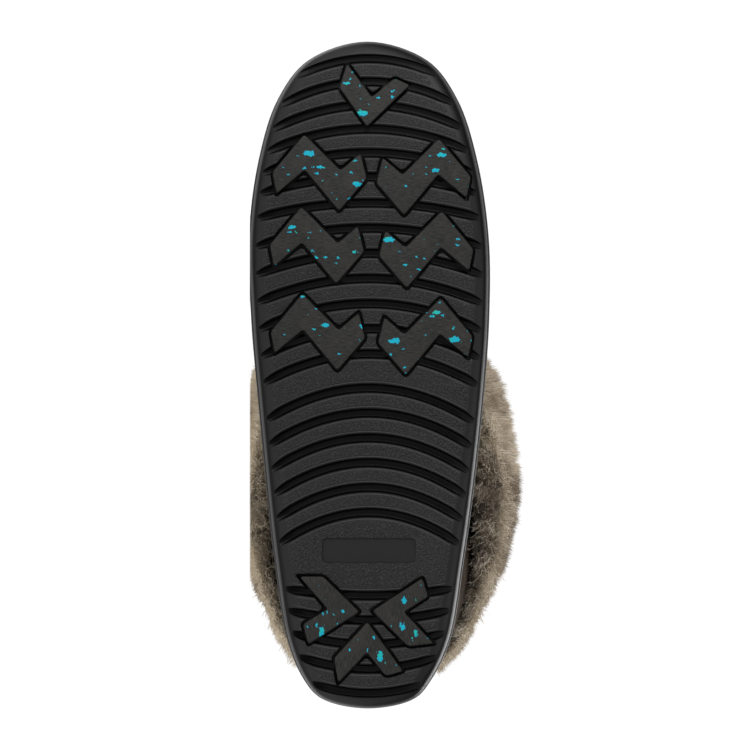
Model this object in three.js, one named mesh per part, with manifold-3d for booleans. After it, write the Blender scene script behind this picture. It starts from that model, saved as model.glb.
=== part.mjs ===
// A short mukluk boot for the left foot, lying on its inner side as on a floor.
// It is drawn standing: x runs forward from the back of the heel, y points to the outer side of the
// foot and z is up from the ground. The last lines lay the whole boot on its inner side.
import * as THREE from 'three';
import { mergeVertices } from 'three/addons/utils/BufferGeometryUtils.js';
import Module from 'manifold-3d';

// Driving dimensions, in millimetres and degrees
const LENGTH = 278;
const FIT_GAP = 0.3;
const LEAN = 2.6;

// Underside of the sole along its length
const LUG_PROUD = 0.8;
const TOE_SPRING = 12;
const TOE_SPRING_FROM = 207;
const HEEL_RISE = 3;
const HEEL_RISE_TO = 14;
const ARCH_RISE = 1.8;
const ARCH_FROM = 68;
const ARCH_TO = 140;

// Thickness of the sole under the foot, and height of its side wall
const BASE_FOREFOOT = 9.5;
const BASE_HEEL = 13;
const WALL_HEIGHT = 20;
const WALL_EXTRA_HEEL = 2;
const WALL_EXTRA_TOE = 3;

// Tread
const GROOVE_WIDTH = 3.6;
const TREAD_DEPTH = 3;
const MOAT = 1.1;
const PLATE = { x: 66.5, length: 10, width: 38, depth: 0.8 };

// Upper and insole
const UPPER_WALL = 2.6;
const SOLE_EDGE = 5;
const LASTING_MARGIN = 9;
const SEAM_RAISE = 1.4;
const INSOLE_THICKNESS = 5;

// Outline of the sole: half widths on the inner and the outer side of the centre line
const OUTLINE = [
  { x: 4.2, inner: 19.5, outer: 18.7 },
  { x: 12.5, inner: 27.0, outer: 25.9 },
  { x: 29.1, inner: 33.8, outer: 33.6 },
  { x: 62.3, inner: 39.0, outer: 39.2 },
  { x: 95.5, inner: 42.7, outer: 43.8 },
  { x: 128.7, inner: 45.8, outer: 47.3 },
  { x: 161.9, inner: 48.6, outer: 49.6 },
  { x: 195.1, inner: 49.6, outer: 49.4 },
  { x: 228.3, inner: 45.4, outer: 44.5 },
  { x: 253.2, inner: 37.8, outer: 36.6 },
  { x: 269.8, inner: 25.4, outer: 24.3 },
];
const HEEL_CENTRE = -0.6;
const TOE_CENTRE = -0.8;

// Side of the sole from the tread up: how far in from the outline, and how high up the wall
const SIDE_PROFILE = [
  { inset: 9.0, lift: 0.0 },
  { inset: 5.2, lift: 0.5 },
  { inset: 2.6, lift: 2.2 },
  { inset: 1.2, lift: 5.0 },
  { inset: 0.8, lift: 9.0 },
  { inset: 1.7, lift: 11.4 },
  { inset: 0.0, lift: 12.6 },
  { inset: 0.0, lift: 16.2 },
  { inset: 2.2, lift: 20.0 },
];

// Tread grooves: where the first one crosses the centre line, and how far forward their ends sweep
const GROOVES = [
  { zone: 'heel', first: 8, pitch: 10, count: 5, sweepFirst: 15, sweepLast: 5 },
  { zone: 'waist', first: 82, pitch: 10.2, count: 6, sweepFirst: -19, sweepLast: -15 },
  { zone: 'ball', first: 147, pitch: 10.3, count: 7, sweepFirst: -13, sweepLast: -6 },
  { zone: 'toe', first: 219.5, pitch: 9.9, count: 6, sweepFirst: -7, sweepLast: -17 },
];
const SWEEP_HALF_WIDTH = 45;

// Zigzag grip inserts: outline from the outer peak, sideways to the middle and forward to the toe
const ZIGZAG = [
  { across: 0, fore: 0 },
  { across: 14.9, fore: -14.9 },
  { across: 23.0, fore: -7.9 },
  { across: 25.6, fore: -18.2 },
  { across: 14.3, fore: -31.3 },
  { across: 0.3, fore: -14.5 },
  { across: -11.2, fore: -24.2 },
  { across: -12.9, fore: -15.6 },
];
const ZIGZAG_ROWS = [
  { name: 'front', x: 236.9, y: 27.6 },
  { name: 'middle', x: 207.1, y: 28.7 },
  { name: 'rear', x: 171.6, y: 28.3 },
];
const ZIGZAG_CENTRE = 1.1;
const OUTER_ROW_BACK = 1.8;

// Chevron grip inserts: apex, notch opposite it, and the outer and inner corner at the end of each arm
const CHEVRONS = [
  {
    name: 'toe', apex: [240.3, -0.8], notch: [252.4, 1.2],
    arms: [{ outer: [256.5, -12.0], inner: [266.6, -9.0] }, { outer: [257.6, 16.8], inner: [260.5, 10.5] }],
  },
  {
    name: 'heel_inner', apex: [41.5, -4.0], notch: [42.7, -16.7],
    arms: [{ outer: [55.9, -18.8], inner: [55.9, -28.3] }, { outer: [28.4, -24.7], inner: [36.4, -26.9] }],
  },
  {
    name: 'heel_outer', apex: [41.9, 1.5], notch: [41.5, 14.2],
    arms: [{ outer: [55.1, 21.8], inner: [47.8, 24.2] }, { outer: [27.5, 16.1], inner: [28.6, 26.3] }],
  },
  {
    name: 'heel_rear', apex: [37.3, -0.6], notch: [25.0, -0.8],
    arms: [{ outer: [22.5, -14.2], inner: [12.7, -12.5] }, { outer: [17.3, 13.8], inner: [15.4, 7.0] }],
  },
];

// Upper: each section spans from its front edge to its back edge, with half widths to each side.
// A back edge without a height lies on the sole. The fullness is the exponent of each half's curve.
// Near the toe the wall faces forward, so a share of any offset goes ahead.
const SECTIONS = [
  { front: [272.3, 34], back: [272.3], inner: 10.5, outer: 9.5, fullFront: 2.4, fullBack: 2.6, ahead: 1 },
  { front: [267.5, 44], back: [268], inner: 22.5, outer: 21.5, fullFront: 2.3, fullBack: 3, ahead: 0.8 },
  { front: [256, 53], back: [258], inner: 31, outer: 30, fullFront: 2.2, fullBack: 3.4, ahead: 0.45 },
  { front: [240, 59], back: [243], inner: 37.2, outer: 36.2, fullFront: 2.1, fullBack: 3.6, ahead: 0.2 },
  { front: [219, 64.5], back: [224], inner: 41.7, outer: 41, fullFront: 2.1, fullBack: 3.8, ahead: 0.1 },
  { front: [196, 71.5], back: [200], inner: 44.2, outer: 44.2, fullFront: 2.1, fullBack: 3.8 },
  { front: [177, 80.5], back: [174], inner: 43.6, outer: 44.6, fullFront: 2.1, fullBack: 3.8 },
  { front: [163, 91], back: [144], inner: 42, outer: 43.4, fullFront: 2.1, fullBack: 3.6 },
  { front: [153, 103.5], back: [112], inner: 40, outer: 41.8, fullFront: 2.2, fullBack: 3.2 },
  { front: [146.5, 117.5], back: [78], inner: 38.6, outer: 40.6, fullFront: 2.3, fullBack: 2.9 },
  { front: [143.2, 131.5], back: [46], inner: 38.4, outer: 40.6, fullFront: 2.5, fullBack: 2.7 },
  { front: [142.2, 145], back: [22], inner: 39.4, outer: 42, fullFront: 2.6, fullBack: 2.5 },
  { front: [142, 156], back: [8.5, 24], inner: 41, outer: 44, fullFront: 2.7, fullBack: 2.3 },
  { front: [142, 165], back: [5.2, 48], inner: 42.6, outer: 46.4, fullFront: 2.8, fullBack: 2.2 },
  { front: [142, 174], back: [6.5, 84], inner: 44, outer: 48.4, fullFront: 2.8, fullBack: 2.2 },
  { front: [142, 183], back: [9.5, 124], inner: 45, outer: 49.6, fullFront: 2.9, fullBack: 2.2 },
  { front: [142, 191], back: [11.5, 162], inner: 45.4, outer: 50, fullFront: 3, fullBack: 2.2 },
  { front: [142.3, 200], back: [12, 200], inner: 45.6, outer: 50.2, fullFront: 3, fullBack: 2.2 },
];
const SEAM_FIRST_SECTION = 2;
const SEAM_LAST_SECTION = 7;
const SEAM_STEP = 4;

// Fur band: full plan size, then its levels with heights at back and front and the inset from full size
const FUR = { middle: 89, front: 157, back: -4, inner: 61, outer: 66.5, taper: 0.14, fullFront: 6 };
const FUR_LEVELS = [
  { back: 76, front: 113, inset: 16 },
  { back: 79, front: 115, inset: 7 },
  { back: 92, front: 125, inset: 1.5 },
  { back: 128, front: 148, inset: 0 },
  { back: 166, front: 174, inset: 0 },
  { back: 190, front: 193, inset: 3.5 },
  { back: 202, front: 203, inset: 10 },
  { back: 205, front: 205, inset: 17 },
];
const LOCK_FIRST_LEVEL = 1.6;
const LOCK_LEVEL_SPAN = 4.6;
const LOCKS = { rows: 6, around: 20, reach: 6.5, drop: 20, root: 9.5, rise: 9, sink: 3 };

// Numbers of steps round each form
const OUTLINE_STEPS = 2;
const SECTION_STEPS = 28;
const FUR_STEPS = 28;
// Places along the sole where its flat facets meet
const TREAD_STATIONS = [-20, 0, 7, 14, 68, 84, 104, 124, 140, 207, 225, 241, 255, 267, 278, 300];
const GROOVE_SEGMENTS = 7;
const GROOVE_HALF_SPAN = 56;
const REACH = 400;

const RUBBER = { color: 0x222224, roughness: 0.55, metalness: 0 };
const GRIP = { color: 0x3c3b3a, roughness: 0.8, metalness: 0 };
const SUEDE = { color: 0x5a4636, roughness: 0.95, metalness: 0 };
const FELT = { color: 0xb9ab95, roughness: 0.95, metalness: 0 };
const FUR_HAIR = { color: 0x7d7264, roughness: 0.9, metalness: 0 };

const wasm = await Module();
wasm.setup();

// Joining and cutting

function solidOf(geometry) {
  const bare = geometry.clone();
  bare.deleteAttribute('normal');
  bare.deleteAttribute('uv');
  const merged = mergeVertices(bare, 1e-4);
  return new wasm.Manifold(new wasm.Mesh({
    numProp: 3,
    vertProperties: new Float32Array(merged.attributes.position.array),
    triVerts: new Uint32Array(merged.index.array),
  }));
}

function geometryOf(solid) {
  const mesh = solid.getMesh();
  const geometry = new THREE.BufferGeometry();
  geometry.setAttribute('position', new THREE.BufferAttribute(new Float32Array(mesh.vertProperties), 3));
  geometry.setIndex(new THREE.BufferAttribute(new Uint32Array(mesh.triVerts), 1));
  return geometry;
}

function joined(solids) {
  return solids.reduce((whole, piece) => whole.add(piece));
}

// Closed meshes

function signedVolume(points, triangles) {
  return triangles.reduce((sum, [a, b, c]) => {
    const cross = new THREE.Vector3().crossVectors(points[b], points[c]);
    return sum + points[a].dot(cross) / 6;
  }, 0);
}

function closedGeometry(points, triangles) {
  const outward = signedVolume(points, triangles) > 0;
  const index = triangles.flatMap(([a, b, c]) => (outward ? [a, b, c] : [a, c, b]));
  const geometry = new THREE.BufferGeometry().setFromPoints(points);
  geometry.setIndex(index);
  return geometry;
}

// Rings have the same number of points, and point i faces point (count - i) across the ring.
function loft(rings) {
  const count = rings[0].length;
  const triangles = [];
  for (let r = 0; r + 1 < rings.length; r += 1) {
    for (let i = 0; i < count; i += 1) {
      const a = r * count + i;
      const b = r * count + ((i + 1) % count);
      triangles.push([a, b, b + count], [a, b + count, a + count]);
    }
  }
  const ladder = (start, flip) => {
    for (let i = 0; i < count / 2; i += 1) {
      const a = start + i;
      const b = start + i + 1;
      const c = start + ((count - i - 1) % count);
      const d = start + ((count - i) % count);
      const pair = i === 0 ? [[a, b, c]] : [[a, b, c], [a, c, d]];
      const kept = i + 1 === count / 2 ? [[a, b, d]] : pair;
      kept.forEach(([p, q, s]) => triangles.push(flip ? [p, s, q] : [p, q, s]));
    }
  };
  ladder(0, true);
  ladder((rings.length - 1) * count, false);
  return closedGeometry(rings.flat(), triangles);
}

// A flat outline in x and y, as an upright prism between two heights
function prism(points, bottom, top) {
  const shape = new THREE.Shape(points.map(([x, y]) => new THREE.Vector2(x, y)));
  const geometry = new THREE.ExtrudeGeometry(shape, { depth: top - bottom, bevelEnabled: false });
  geometry.translate(0, 0, bottom);
  return solidOf(geometry);
}

// A layer right across the boot, between two height functions of x
function layer(lower, upper) {
  const below = TREAD_STATIONS.map((x) => [x, lower(x)]);
  const above = TREAD_STATIONS.map((x) => [x, upper(x)]).reverse();
  const shape = new THREE.Shape([...below, ...above].map(([x, z]) => new THREE.Vector2(x, z)));
  const geometry = new THREE.ExtrudeGeometry(shape, { depth: REACH, bevelEnabled: false });
  geometry.rotateX(Math.PI / 2);
  geometry.translate(0, REACH / 2, 0);
  return solidOf(geometry);
}

// Heights along the sole

function ribFace(x) {
  const toe = Math.max(0, (x - TOE_SPRING_FROM) / (LENGTH - TOE_SPRING_FROM));
  const heel = Math.max(0, (HEEL_RISE_TO - x) / HEEL_RISE_TO);
  const arch = THREE.MathUtils.clamp((x - ARCH_FROM) / (ARCH_TO - ARCH_FROM), 0, 1);
  return LUG_PROUD + TOE_SPRING * toe ** 2 + HEEL_RISE * Math.min(heel, 1) ** 2
    + ARCH_RISE * Math.sin(Math.PI * arch) ** 2;
}

function seatHeight(x) {
  const heel = 1 - THREE.MathUtils.smoothstep(x, 60, 150);
  return ribFace(x) + BASE_FOREFOOT + (BASE_HEEL - BASE_FOREFOOT) * heel;
}

function wallHeight(x) {
  const heel = 1 - THREE.MathUtils.smoothstep(x, 20, 90);
  const toe = THREE.MathUtils.smoothstep(x, 200, LENGTH);
  return WALL_HEIGHT + WALL_EXTRA_HEEL * heel + WALL_EXTRA_TOE * toe;
}

// Outline of the sole

const outlineCurve = new THREE.CatmullRomCurve3([
  new THREE.Vector3(0, HEEL_CENTRE, 0),
  ...OUTLINE.map((row) => new THREE.Vector3(row.x, row.outer, 0)),
  new THREE.Vector3(LENGTH, TOE_CENTRE, 0),
  ...[...OUTLINE].reverse().map((row) => new THREE.Vector3(row.x, -row.inner, 0)),
], true, 'centripetal');
const outlineCount = outlineCurve.points.length * OUTLINE_STEPS;

function insetOutline(inset) {
  return Array.from({ length: outlineCount }, (_, i) => {
    const t = i / outlineCount;
    const tangent = outlineCurve.getTangent(t);
    const point = outlineCurve.getPoint(t);
    return new THREE.Vector3(point.x + tangent.y * inset, point.y - tangent.x * inset, 0);
  });
}

// Sock shape of the upper, grown or shrunk by an offset

function superellipse(angle, fullness) {
  const power = (value) => Math.sign(value) * Math.abs(value) ** (2 / fullness);
  return [power(Math.cos(angle)), power(Math.sin(angle))];
}

function sectionRing(section, offset) {
  const [frontX, frontZ] = section.front;
  const [backX, backZ = seatHeight(backX) + FIT_GAP] = section.back;
  const span = Math.hypot(frontX - backX, frontZ - backZ);
  const along = new THREE.Vector3((frontX - backX) / span, 0, (frontZ - backZ) / span);
  const shift = (section.ahead ?? 0) * offset;
  const centre = new THREE.Vector3((frontX + backX) / 2 + shift, 0, (frontZ + backZ) / 2);
  return Array.from({ length: SECTION_STEPS }, (_, i) => {
    const angle = (2 * Math.PI * i) / SECTION_STEPS;
    const fullness = Math.cos(angle) > 0 ? section.fullFront : section.fullBack;
    const [lengthwise, sideways] = superellipse(angle, fullness);
    const halfWidth = (sideways > 0 ? section.outer : section.inner) + offset;
    const point = centre.clone().addScaledVector(along, lengthwise * (span / 2 + offset));
    point.y = sideways * halfWidth;
    return point;
  });
}

// The seam ridge runs round the toe and back along both sides of the instep.
function raiseSeam(rings) {
  for (let r = SEAM_FIRST_SECTION; r <= SEAM_LAST_SECTION; r += 1) {
    const ring = rings[r];
    const middle = ring[0].clone().add(ring[SECTION_STEPS / 2]).multiplyScalar(0.5);
    const across = r === SEAM_FIRST_SECTION ? SEAM_STEP : 0;
    for (let i = -SEAM_STEP; i <= SEAM_STEP; i += 1) {
      if (Math.abs(i) === SEAM_STEP || across > 0) {
        const point = ring[(i + SECTION_STEPS) % SECTION_STEPS];
        point.addScaledVector(point.clone().sub(middle).normalize(), SEAM_RAISE);
      }
    }
  }
}

function sock(offset, { seam = false, above = 0 } = {}) {
  const rings = SECTIONS.map((section) => sectionRing(section, offset));
  if (seam) {
    raiseSeam(rings);
  }
  if (above > 0) {
    rings.push(rings.at(-1).map((point) => point.clone().setZ(point.z + above)));
  }
  return solidOf(loft(rings));
}

// Grip inserts

function zigzagOutline(row, side, grow) {
  const forward = side > 0 ? -OUTER_ROW_BACK : 0;
  const points = ZIGZAG.map(({ across, fore }) => [
    row.x + forward + fore,
    ZIGZAG_CENTRE + side * (row.y - across),
  ]);
  return grownOutline(points, grow);
}

function chevronOutline({ apex, notch, arms: [first, second] }, grow) {
  return grownOutline([apex, first.outer, first.inner, notch, second.inner, second.outer], grow);
}

// Moves each side of a flat outline out by the same distance
function grownOutline(points, grow) {
  const area = points.reduce((sum, [x, y], i) => {
    const [nextX, nextY] = points[(i + 1) % points.length];
    return sum + x * nextY - nextX * y;
  }, 0);
  const outward = Math.sign(area) * grow;
  const count = points.length;
  const edgeNormal = ([ax, ay], [bx, by]) => {
    const length = Math.hypot(bx - ax, by - ay);
    return [(by - ay) / length, (ax - bx) / length];
  };
  return points.map((point, i) => {
    const before = edgeNormal(points[(i + count - 1) % count], point);
    const after = edgeNormal(point, points[(i + 1) % count]);
    const scale = outward / (1 + before[0] * after[0] + before[1] * after[1]);
    return [point[0] + (before[0] + after[0]) * scale, point[1] + (before[1] + after[1]) * scale];
  });
}

const INSERTS = [
  ...CHEVRONS.map((chevron) => ({
    name: `lug_${chevron.name}`,
    outline: (grow) => chevronOutline(chevron, grow),
  })),
  ...ZIGZAG_ROWS.flatMap((row) => [['inner', -1], ['outer', 1]].map(([word, side]) => ({
    name: `lug_${row.name}_${word}`,
    outline: (grow) => zigzagOutline(row, side, grow),
  }))),
];

function makeInserts() {
  const body = layer((x) => ribFace(x) - LUG_PROUD, (x) => ribFace(x) + TREAD_DEPTH - FIT_GAP);
  return INSERTS.map(({ name, outline }) => ({
    name,
    solid: prism(outline(0), -REACH / 2, REACH / 2).intersect(body),
  }));
}

// Tread grooves and pockets, as one solid to take out of the sole

function grooveOutline(middle, sweep) {
  const edge = (offset) => Array.from({ length: GROOVE_SEGMENTS + 1 }, (_, i) => {
    const y = GROOVE_HALF_SPAN * ((2 * i) / GROOVE_SEGMENTS - 1);
    return [middle + sweep * (y / SWEEP_HALF_WIDTH) ** 2 + offset, y];
  });
  return [...edge(-GROOVE_WIDTH / 2), ...edge(GROOVE_WIDTH / 2).reverse()];
}

function makeTreadCuts() {
  const grooves = GROOVES.flatMap((zone) => Array.from({ length: zone.count }, (_, i) => {
    const sweep = THREE.MathUtils.lerp(zone.sweepFirst, zone.sweepLast, i / (zone.count - 1));
    const outline = grooveOutline(zone.first + zone.pitch * i, sweep);
    return prism(outline, -REACH / 2, REACH / 2);
  }));
  const below = () => -REACH / 4;
  const treadLayer = layer(below, (x) => ribFace(x) + TREAD_DEPTH);
  const plateLayer = layer(below, (x) => ribFace(x) + PLATE.depth);
  const pockets = INSERTS.map(({ outline }) => prism(outline(MOAT), -REACH / 2, REACH / 2));
  const plateOutline = [[-1, -1], [1, -1], [1, 1], [-1, 1]].map(([u, v]) => [
    PLATE.x + (u * PLATE.length) / 2,
    (v * PLATE.width) / 2,
  ]);
  const plate = prism(plateOutline, -REACH / 2, REACH / 2).intersect(plateLayer);
  return joined([...grooves, ...pockets]).intersect(treadLayer).add(plate);
}

function makeOutsole() {
  const rings = SIDE_PROFILE.map(({ inset, lift }) => insetOutline(inset).map((point) => {
    const height = ribFace(point.x) + (lift * wallHeight(point.x)) / WALL_HEIGHT;
    return new THREE.Vector3(point.x, point.y, height);
  }));
  return solidOf(loft(rings)).subtract(makeTreadCuts()).subtract(sock(FIT_GAP));
}

// Upper, open at the collar and inside the lasting margin

function makeUpper() {
  const hollow = sock(-UPPER_WALL, { above: 2 * UPPER_WALL });
  const insideMargin = insetOutline(SOLE_EDGE + LASTING_MARGIN).map((point) => [point.x, point.y]);
  const bottom = layer(() => -REACH / 4, (x) => seatHeight(x) + 2 * UPPER_WALL);
  const opening = prism(insideMargin, -REACH / 2, REACH / 2).intersect(bottom);
  return sock(0, { seam: true }).subtract(hollow).subtract(opening);
}

function makeInsole() {
  const underside = (x) => seatHeight(x) + UPPER_WALL + 2 * FIT_GAP;
  const slab = layer(underside, (x) => underside(x) + INSOLE_THICKNESS);
  return sock(-UPPER_WALL - FIT_GAP).intersect(slab);
}

// Fur band

function furPoint(angle, level, inset) {
  const lengthwise = Math.cos(angle);
  const isFront = lengthwise > 0;
  const [u, v] = superellipse(angle, isFront ? FUR.fullFront : 2.1);
  const reach = isFront ? FUR.front - FUR.middle : FUR.middle - FUR.back;
  const half = v > 0 ? FUR.outer : FUR.inner;
  const taper = isFront ? 1 - FUR.taper * u : 1;
  const x = FUR.middle + u * (reach - inset);
  const share = (x - FUR.back) / (FUR.front - FUR.back);
  const height = THREE.MathUtils.lerp(level.back, level.front, share);
  return new THREE.Vector3(x, v * (half * taper - inset), height);
}

function blendedLevel(position) {
  const index = Math.min(Math.floor(position), FUR_LEVELS.length - 2);
  const share = position - index;
  const [low, high] = [FUR_LEVELS[index], FUR_LEVELS[index + 1]];
  return {
    back: THREE.MathUtils.lerp(low.back, high.back, share),
    front: THREE.MathUtils.lerp(low.front, high.front, share),
    inset: THREE.MathUtils.lerp(low.inset, high.inset, share),
  };
}

// A repeatable spread of values from 0 to 1
function scatter(index) {
  return (Math.sin(index * 12.9898) * 43758.5453) % 1 * 0.5 + 0.5;
}

// A lock is a three-sided spike: rooted in the band, it hangs down and out to its tip.
function makeLock(row, place) {
  const seed = row * LOCKS.around + place;
  const angle = (2 * Math.PI * (place + (row % 2) / 2 + 0.3 * scatter(seed))) / LOCKS.around;
  const level = blendedLevel(LOCK_FIRST_LEVEL + (row * LOCK_LEVEL_SPAN) / (LOCKS.rows - 1));
  const root = furPoint(angle, level, level.inset + LOCKS.sink);
  const beside = furPoint(angle + 0.05, level, level.inset + LOCKS.sink);
  const tangent = beside.sub(root).setZ(0).normalize();
  const outward = new THREE.Vector3(tangent.y, -tangent.x, 0);
  const size = 0.85 + 0.35 * scatter(seed + 500);
  const lean = LOCKS.root * (scatter(seed + 900) - 0.5);
  const corner = (across, up, out) => root.clone()
    .addScaledVector(tangent, across)
    .addScaledVector(outward, out)
    .setZ(root.z + up);
  const points = [
    corner(-LOCKS.root * size, 0, 0),
    corner(LOCKS.root * size, 0, 0),
    corner(0, LOCKS.rise * size, 0),
    corner(lean, -LOCKS.drop * size, LOCKS.sink + LOCKS.reach * size),
  ];
  return solidOf(closedGeometry(points, [[0, 2, 1], [0, 1, 3], [0, 3, 2], [1, 2, 3]]));
}

function makeFurCuff(aboveFloor) {
  const rings = FUR_LEVELS.map((level) => Array.from({ length: FUR_STEPS }, (_, i) => (
    furPoint((2 * Math.PI * i) / FUR_STEPS, level, level.inset)
  )));
  const locks = [];
  for (let row = 0; row < LOCKS.rows; row += 1) {
    for (let place = 0; place < LOCKS.around; place += 1) {
      locks.push(makeLock(row, place));
    }
  }
  return solidOf(loft(rings))
    .add(joined(locks))
    .subtract(sock(FIT_GAP, { above: 40 }))
    .intersect(aboveFloor);
}

// Lying on the inner side: the toe points to -X, the sole faces -Y and the outer side is up.

const lying = new THREE.Matrix4().makeBasis(
  new THREE.Vector3(-1, 0, 0),
  new THREE.Vector3(0, 0, 1),
  new THREE.Vector3(0, 1, 0),
);
lying.premultiply(new THREE.Matrix4().makeRotationX(THREE.MathUtils.degToRad(LEAN)));

function lowestPoint(solid) {
  const geometry = geometryOf(solid).applyMatrix4(lying);
  geometry.computeBoundingBox();
  return geometry.boundingBox.min.z;
}

function halfSpaceAbove(height) {
  const box = new THREE.BoxGeometry(2 * REACH, 2 * REACH, REACH);
  box.translate(0, 0, height + REACH / 2);
  box.applyMatrix4(lying.clone().invert());
  return solidOf(box);
}

function meshOf(name, solid, look) {
  const mesh = new THREE.Mesh(geometryOf(solid), new THREE.MeshStandardMaterial(look));
  mesh.name = name;
  return mesh;
}

const outsole = makeOutsole();
const boot = new THREE.Group();
boot.add(meshOf('outsole', outsole, RUBBER));
makeInserts().forEach(({ name, solid }) => boot.add(meshOf(name, solid, GRIP)));
boot.add(meshOf('insole', makeInsole(), FELT));
boot.add(meshOf('upper', makeUpper(), SUEDE));
boot.add(meshOf('fur_cuff', makeFurCuff(halfSpaceAbove(lowestPoint(outsole))), FUR_HAIR));
boot.setRotationFromMatrix(lying);
boot.updateMatrixWorld(true);

// The origin is under the middle of the lying boot.
const extent = new THREE.Box3().setFromObject(boot, true);
const middle = extent.getCenter(new THREE.Vector3());
boot.position.set(-middle.x, -middle.y, -extent.min.z);

export default boot;
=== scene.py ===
"""A left mukluk boot lying on its inner side, seen square on to its tread.

Shapes are worked out standing, in millimetres: x forward from the back of the heel, y to the outer
side of the foot, z up from the ground. lay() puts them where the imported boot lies, in metres.
"""

import math

import bmesh
import bpy
import numpy as np
from mathutils import Euler, Matrix, Vector, noise
from mathutils.bvhtree import BVHTree
from mathutils.kdtree import KDTree


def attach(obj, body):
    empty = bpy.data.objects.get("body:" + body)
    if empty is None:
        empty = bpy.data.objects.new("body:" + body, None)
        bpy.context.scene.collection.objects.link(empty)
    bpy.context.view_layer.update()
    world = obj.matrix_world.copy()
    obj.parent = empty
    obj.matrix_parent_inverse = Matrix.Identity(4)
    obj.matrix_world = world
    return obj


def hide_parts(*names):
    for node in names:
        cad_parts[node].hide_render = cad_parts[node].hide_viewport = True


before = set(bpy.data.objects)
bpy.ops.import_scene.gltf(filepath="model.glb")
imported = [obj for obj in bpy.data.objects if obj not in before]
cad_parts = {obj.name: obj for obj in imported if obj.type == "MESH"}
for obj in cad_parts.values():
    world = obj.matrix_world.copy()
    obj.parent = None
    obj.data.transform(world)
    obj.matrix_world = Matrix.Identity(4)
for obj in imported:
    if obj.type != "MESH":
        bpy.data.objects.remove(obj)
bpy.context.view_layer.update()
rng = np.random.default_rng(7)

# Sizes shared with the construction, in millimetres and degrees

LENGTH = 278.0
FIT_GAP = 0.3
LEAN = 2.6
LUG_PROUD = 0.8
TOE_SPRING = 12.0
TOE_SPRING_FROM = 207.0
HEEL_RISE = 3.0
HEEL_RISE_TO = 14.0
ARCH_RISE = 1.8
ARCH_FROM = 68.0
ARCH_TO = 140.0
BASE_FOREFOOT = 9.5
BASE_HEEL = 13.0
WALL_HEIGHT = 20.0
WALL_EXTRA_HEEL = 2.0
WALL_EXTRA_TOE = 3.0
PLATE = {"x": 66.5, "length": 10.0, "width": 38.0, "depth": 0.8}
UPPER_WALL = 2.6

# Outline of the sole: x, half width on the inner side, half width on the outer side
OUTLINE = [
    (4.2, 19.5, 18.7), (12.5, 27.0, 25.9), (29.1, 33.8, 33.6), (62.3, 39.0, 39.2),
    (95.5, 42.7, 43.8), (128.7, 45.8, 47.3), (161.9, 48.6, 49.6), (195.1, 49.6, 49.4),
    (228.3, 45.4, 44.5), (253.2, 37.8, 36.6), (269.8, 25.4, 24.3),
]
HEEL_CENTRE = -0.6
TOE_CENTRE = -0.8

# Side of the sole from the tread up: inset from the outline, height up the wall
SIDE_PROFILE = [
    (9.0, 0.0), (5.2, 0.5), (2.6, 2.2), (1.2, 5.0), (0.8, 9.0),
    (1.7, 11.4), (0.0, 12.6), (0.0, 16.2), (2.2, 20.0),
]

# Tread grooves: first crossing of the centre line, pitch, count, sweep of the first and last one's ends
GROOVE_ZONES = [
    (8.0, 10.0, 5, 15.0, 5.0),
    (82.0, 10.2, 6, -19.0, -15.0),
    (147.0, 10.3, 7, -13.0, -6.0),
    (219.5, 9.9, 6, -7.0, -17.0),
]
SWEEP_HALF_WIDTH = 45.0

# Zigzag grip inserts: outline from the outer peak, sideways to the middle and forward to the toe
ZIGZAG = [
    (0.0, 0.0), (14.9, -14.9), (23.0, -7.9), (25.6, -18.2),
    (14.3, -31.3), (0.3, -14.5), (-11.2, -24.2), (-12.9, -15.6),
]
ZIGZAG_ROWS = [("front", 236.9, 27.6), ("middle", 207.1, 28.7), ("rear", 171.6, 28.3)]
ZIGZAG_CENTRE = 1.1
OUTER_ROW_BACK = 1.8

# Chevron grip inserts: apex, one arm's outer and inner corner, notch, the other arm's inner and outer
CHEVRONS = {
    "toe": [(240.3, -0.8), (256.5, -12.0), (266.6, -9.0), (252.4, 1.2), (260.5, 10.5), (257.6, 16.8)],
    "heel_inner": [(41.5, -4.0), (55.9, -18.8), (55.9, -28.3), (42.7, -16.7), (36.4, -26.9), (28.4, -24.7)],
    "heel_outer": [(41.9, 1.5), (55.1, 21.8), (47.8, 24.2), (41.5, 14.2), (28.6, 26.3), (27.5, 16.1)],
    "heel_rear": [(37.3, -0.6), (22.5, -14.2), (12.7, -12.5), (25.0, -0.8), (15.4, 7.0), (17.3, 13.8)],
}

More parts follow.
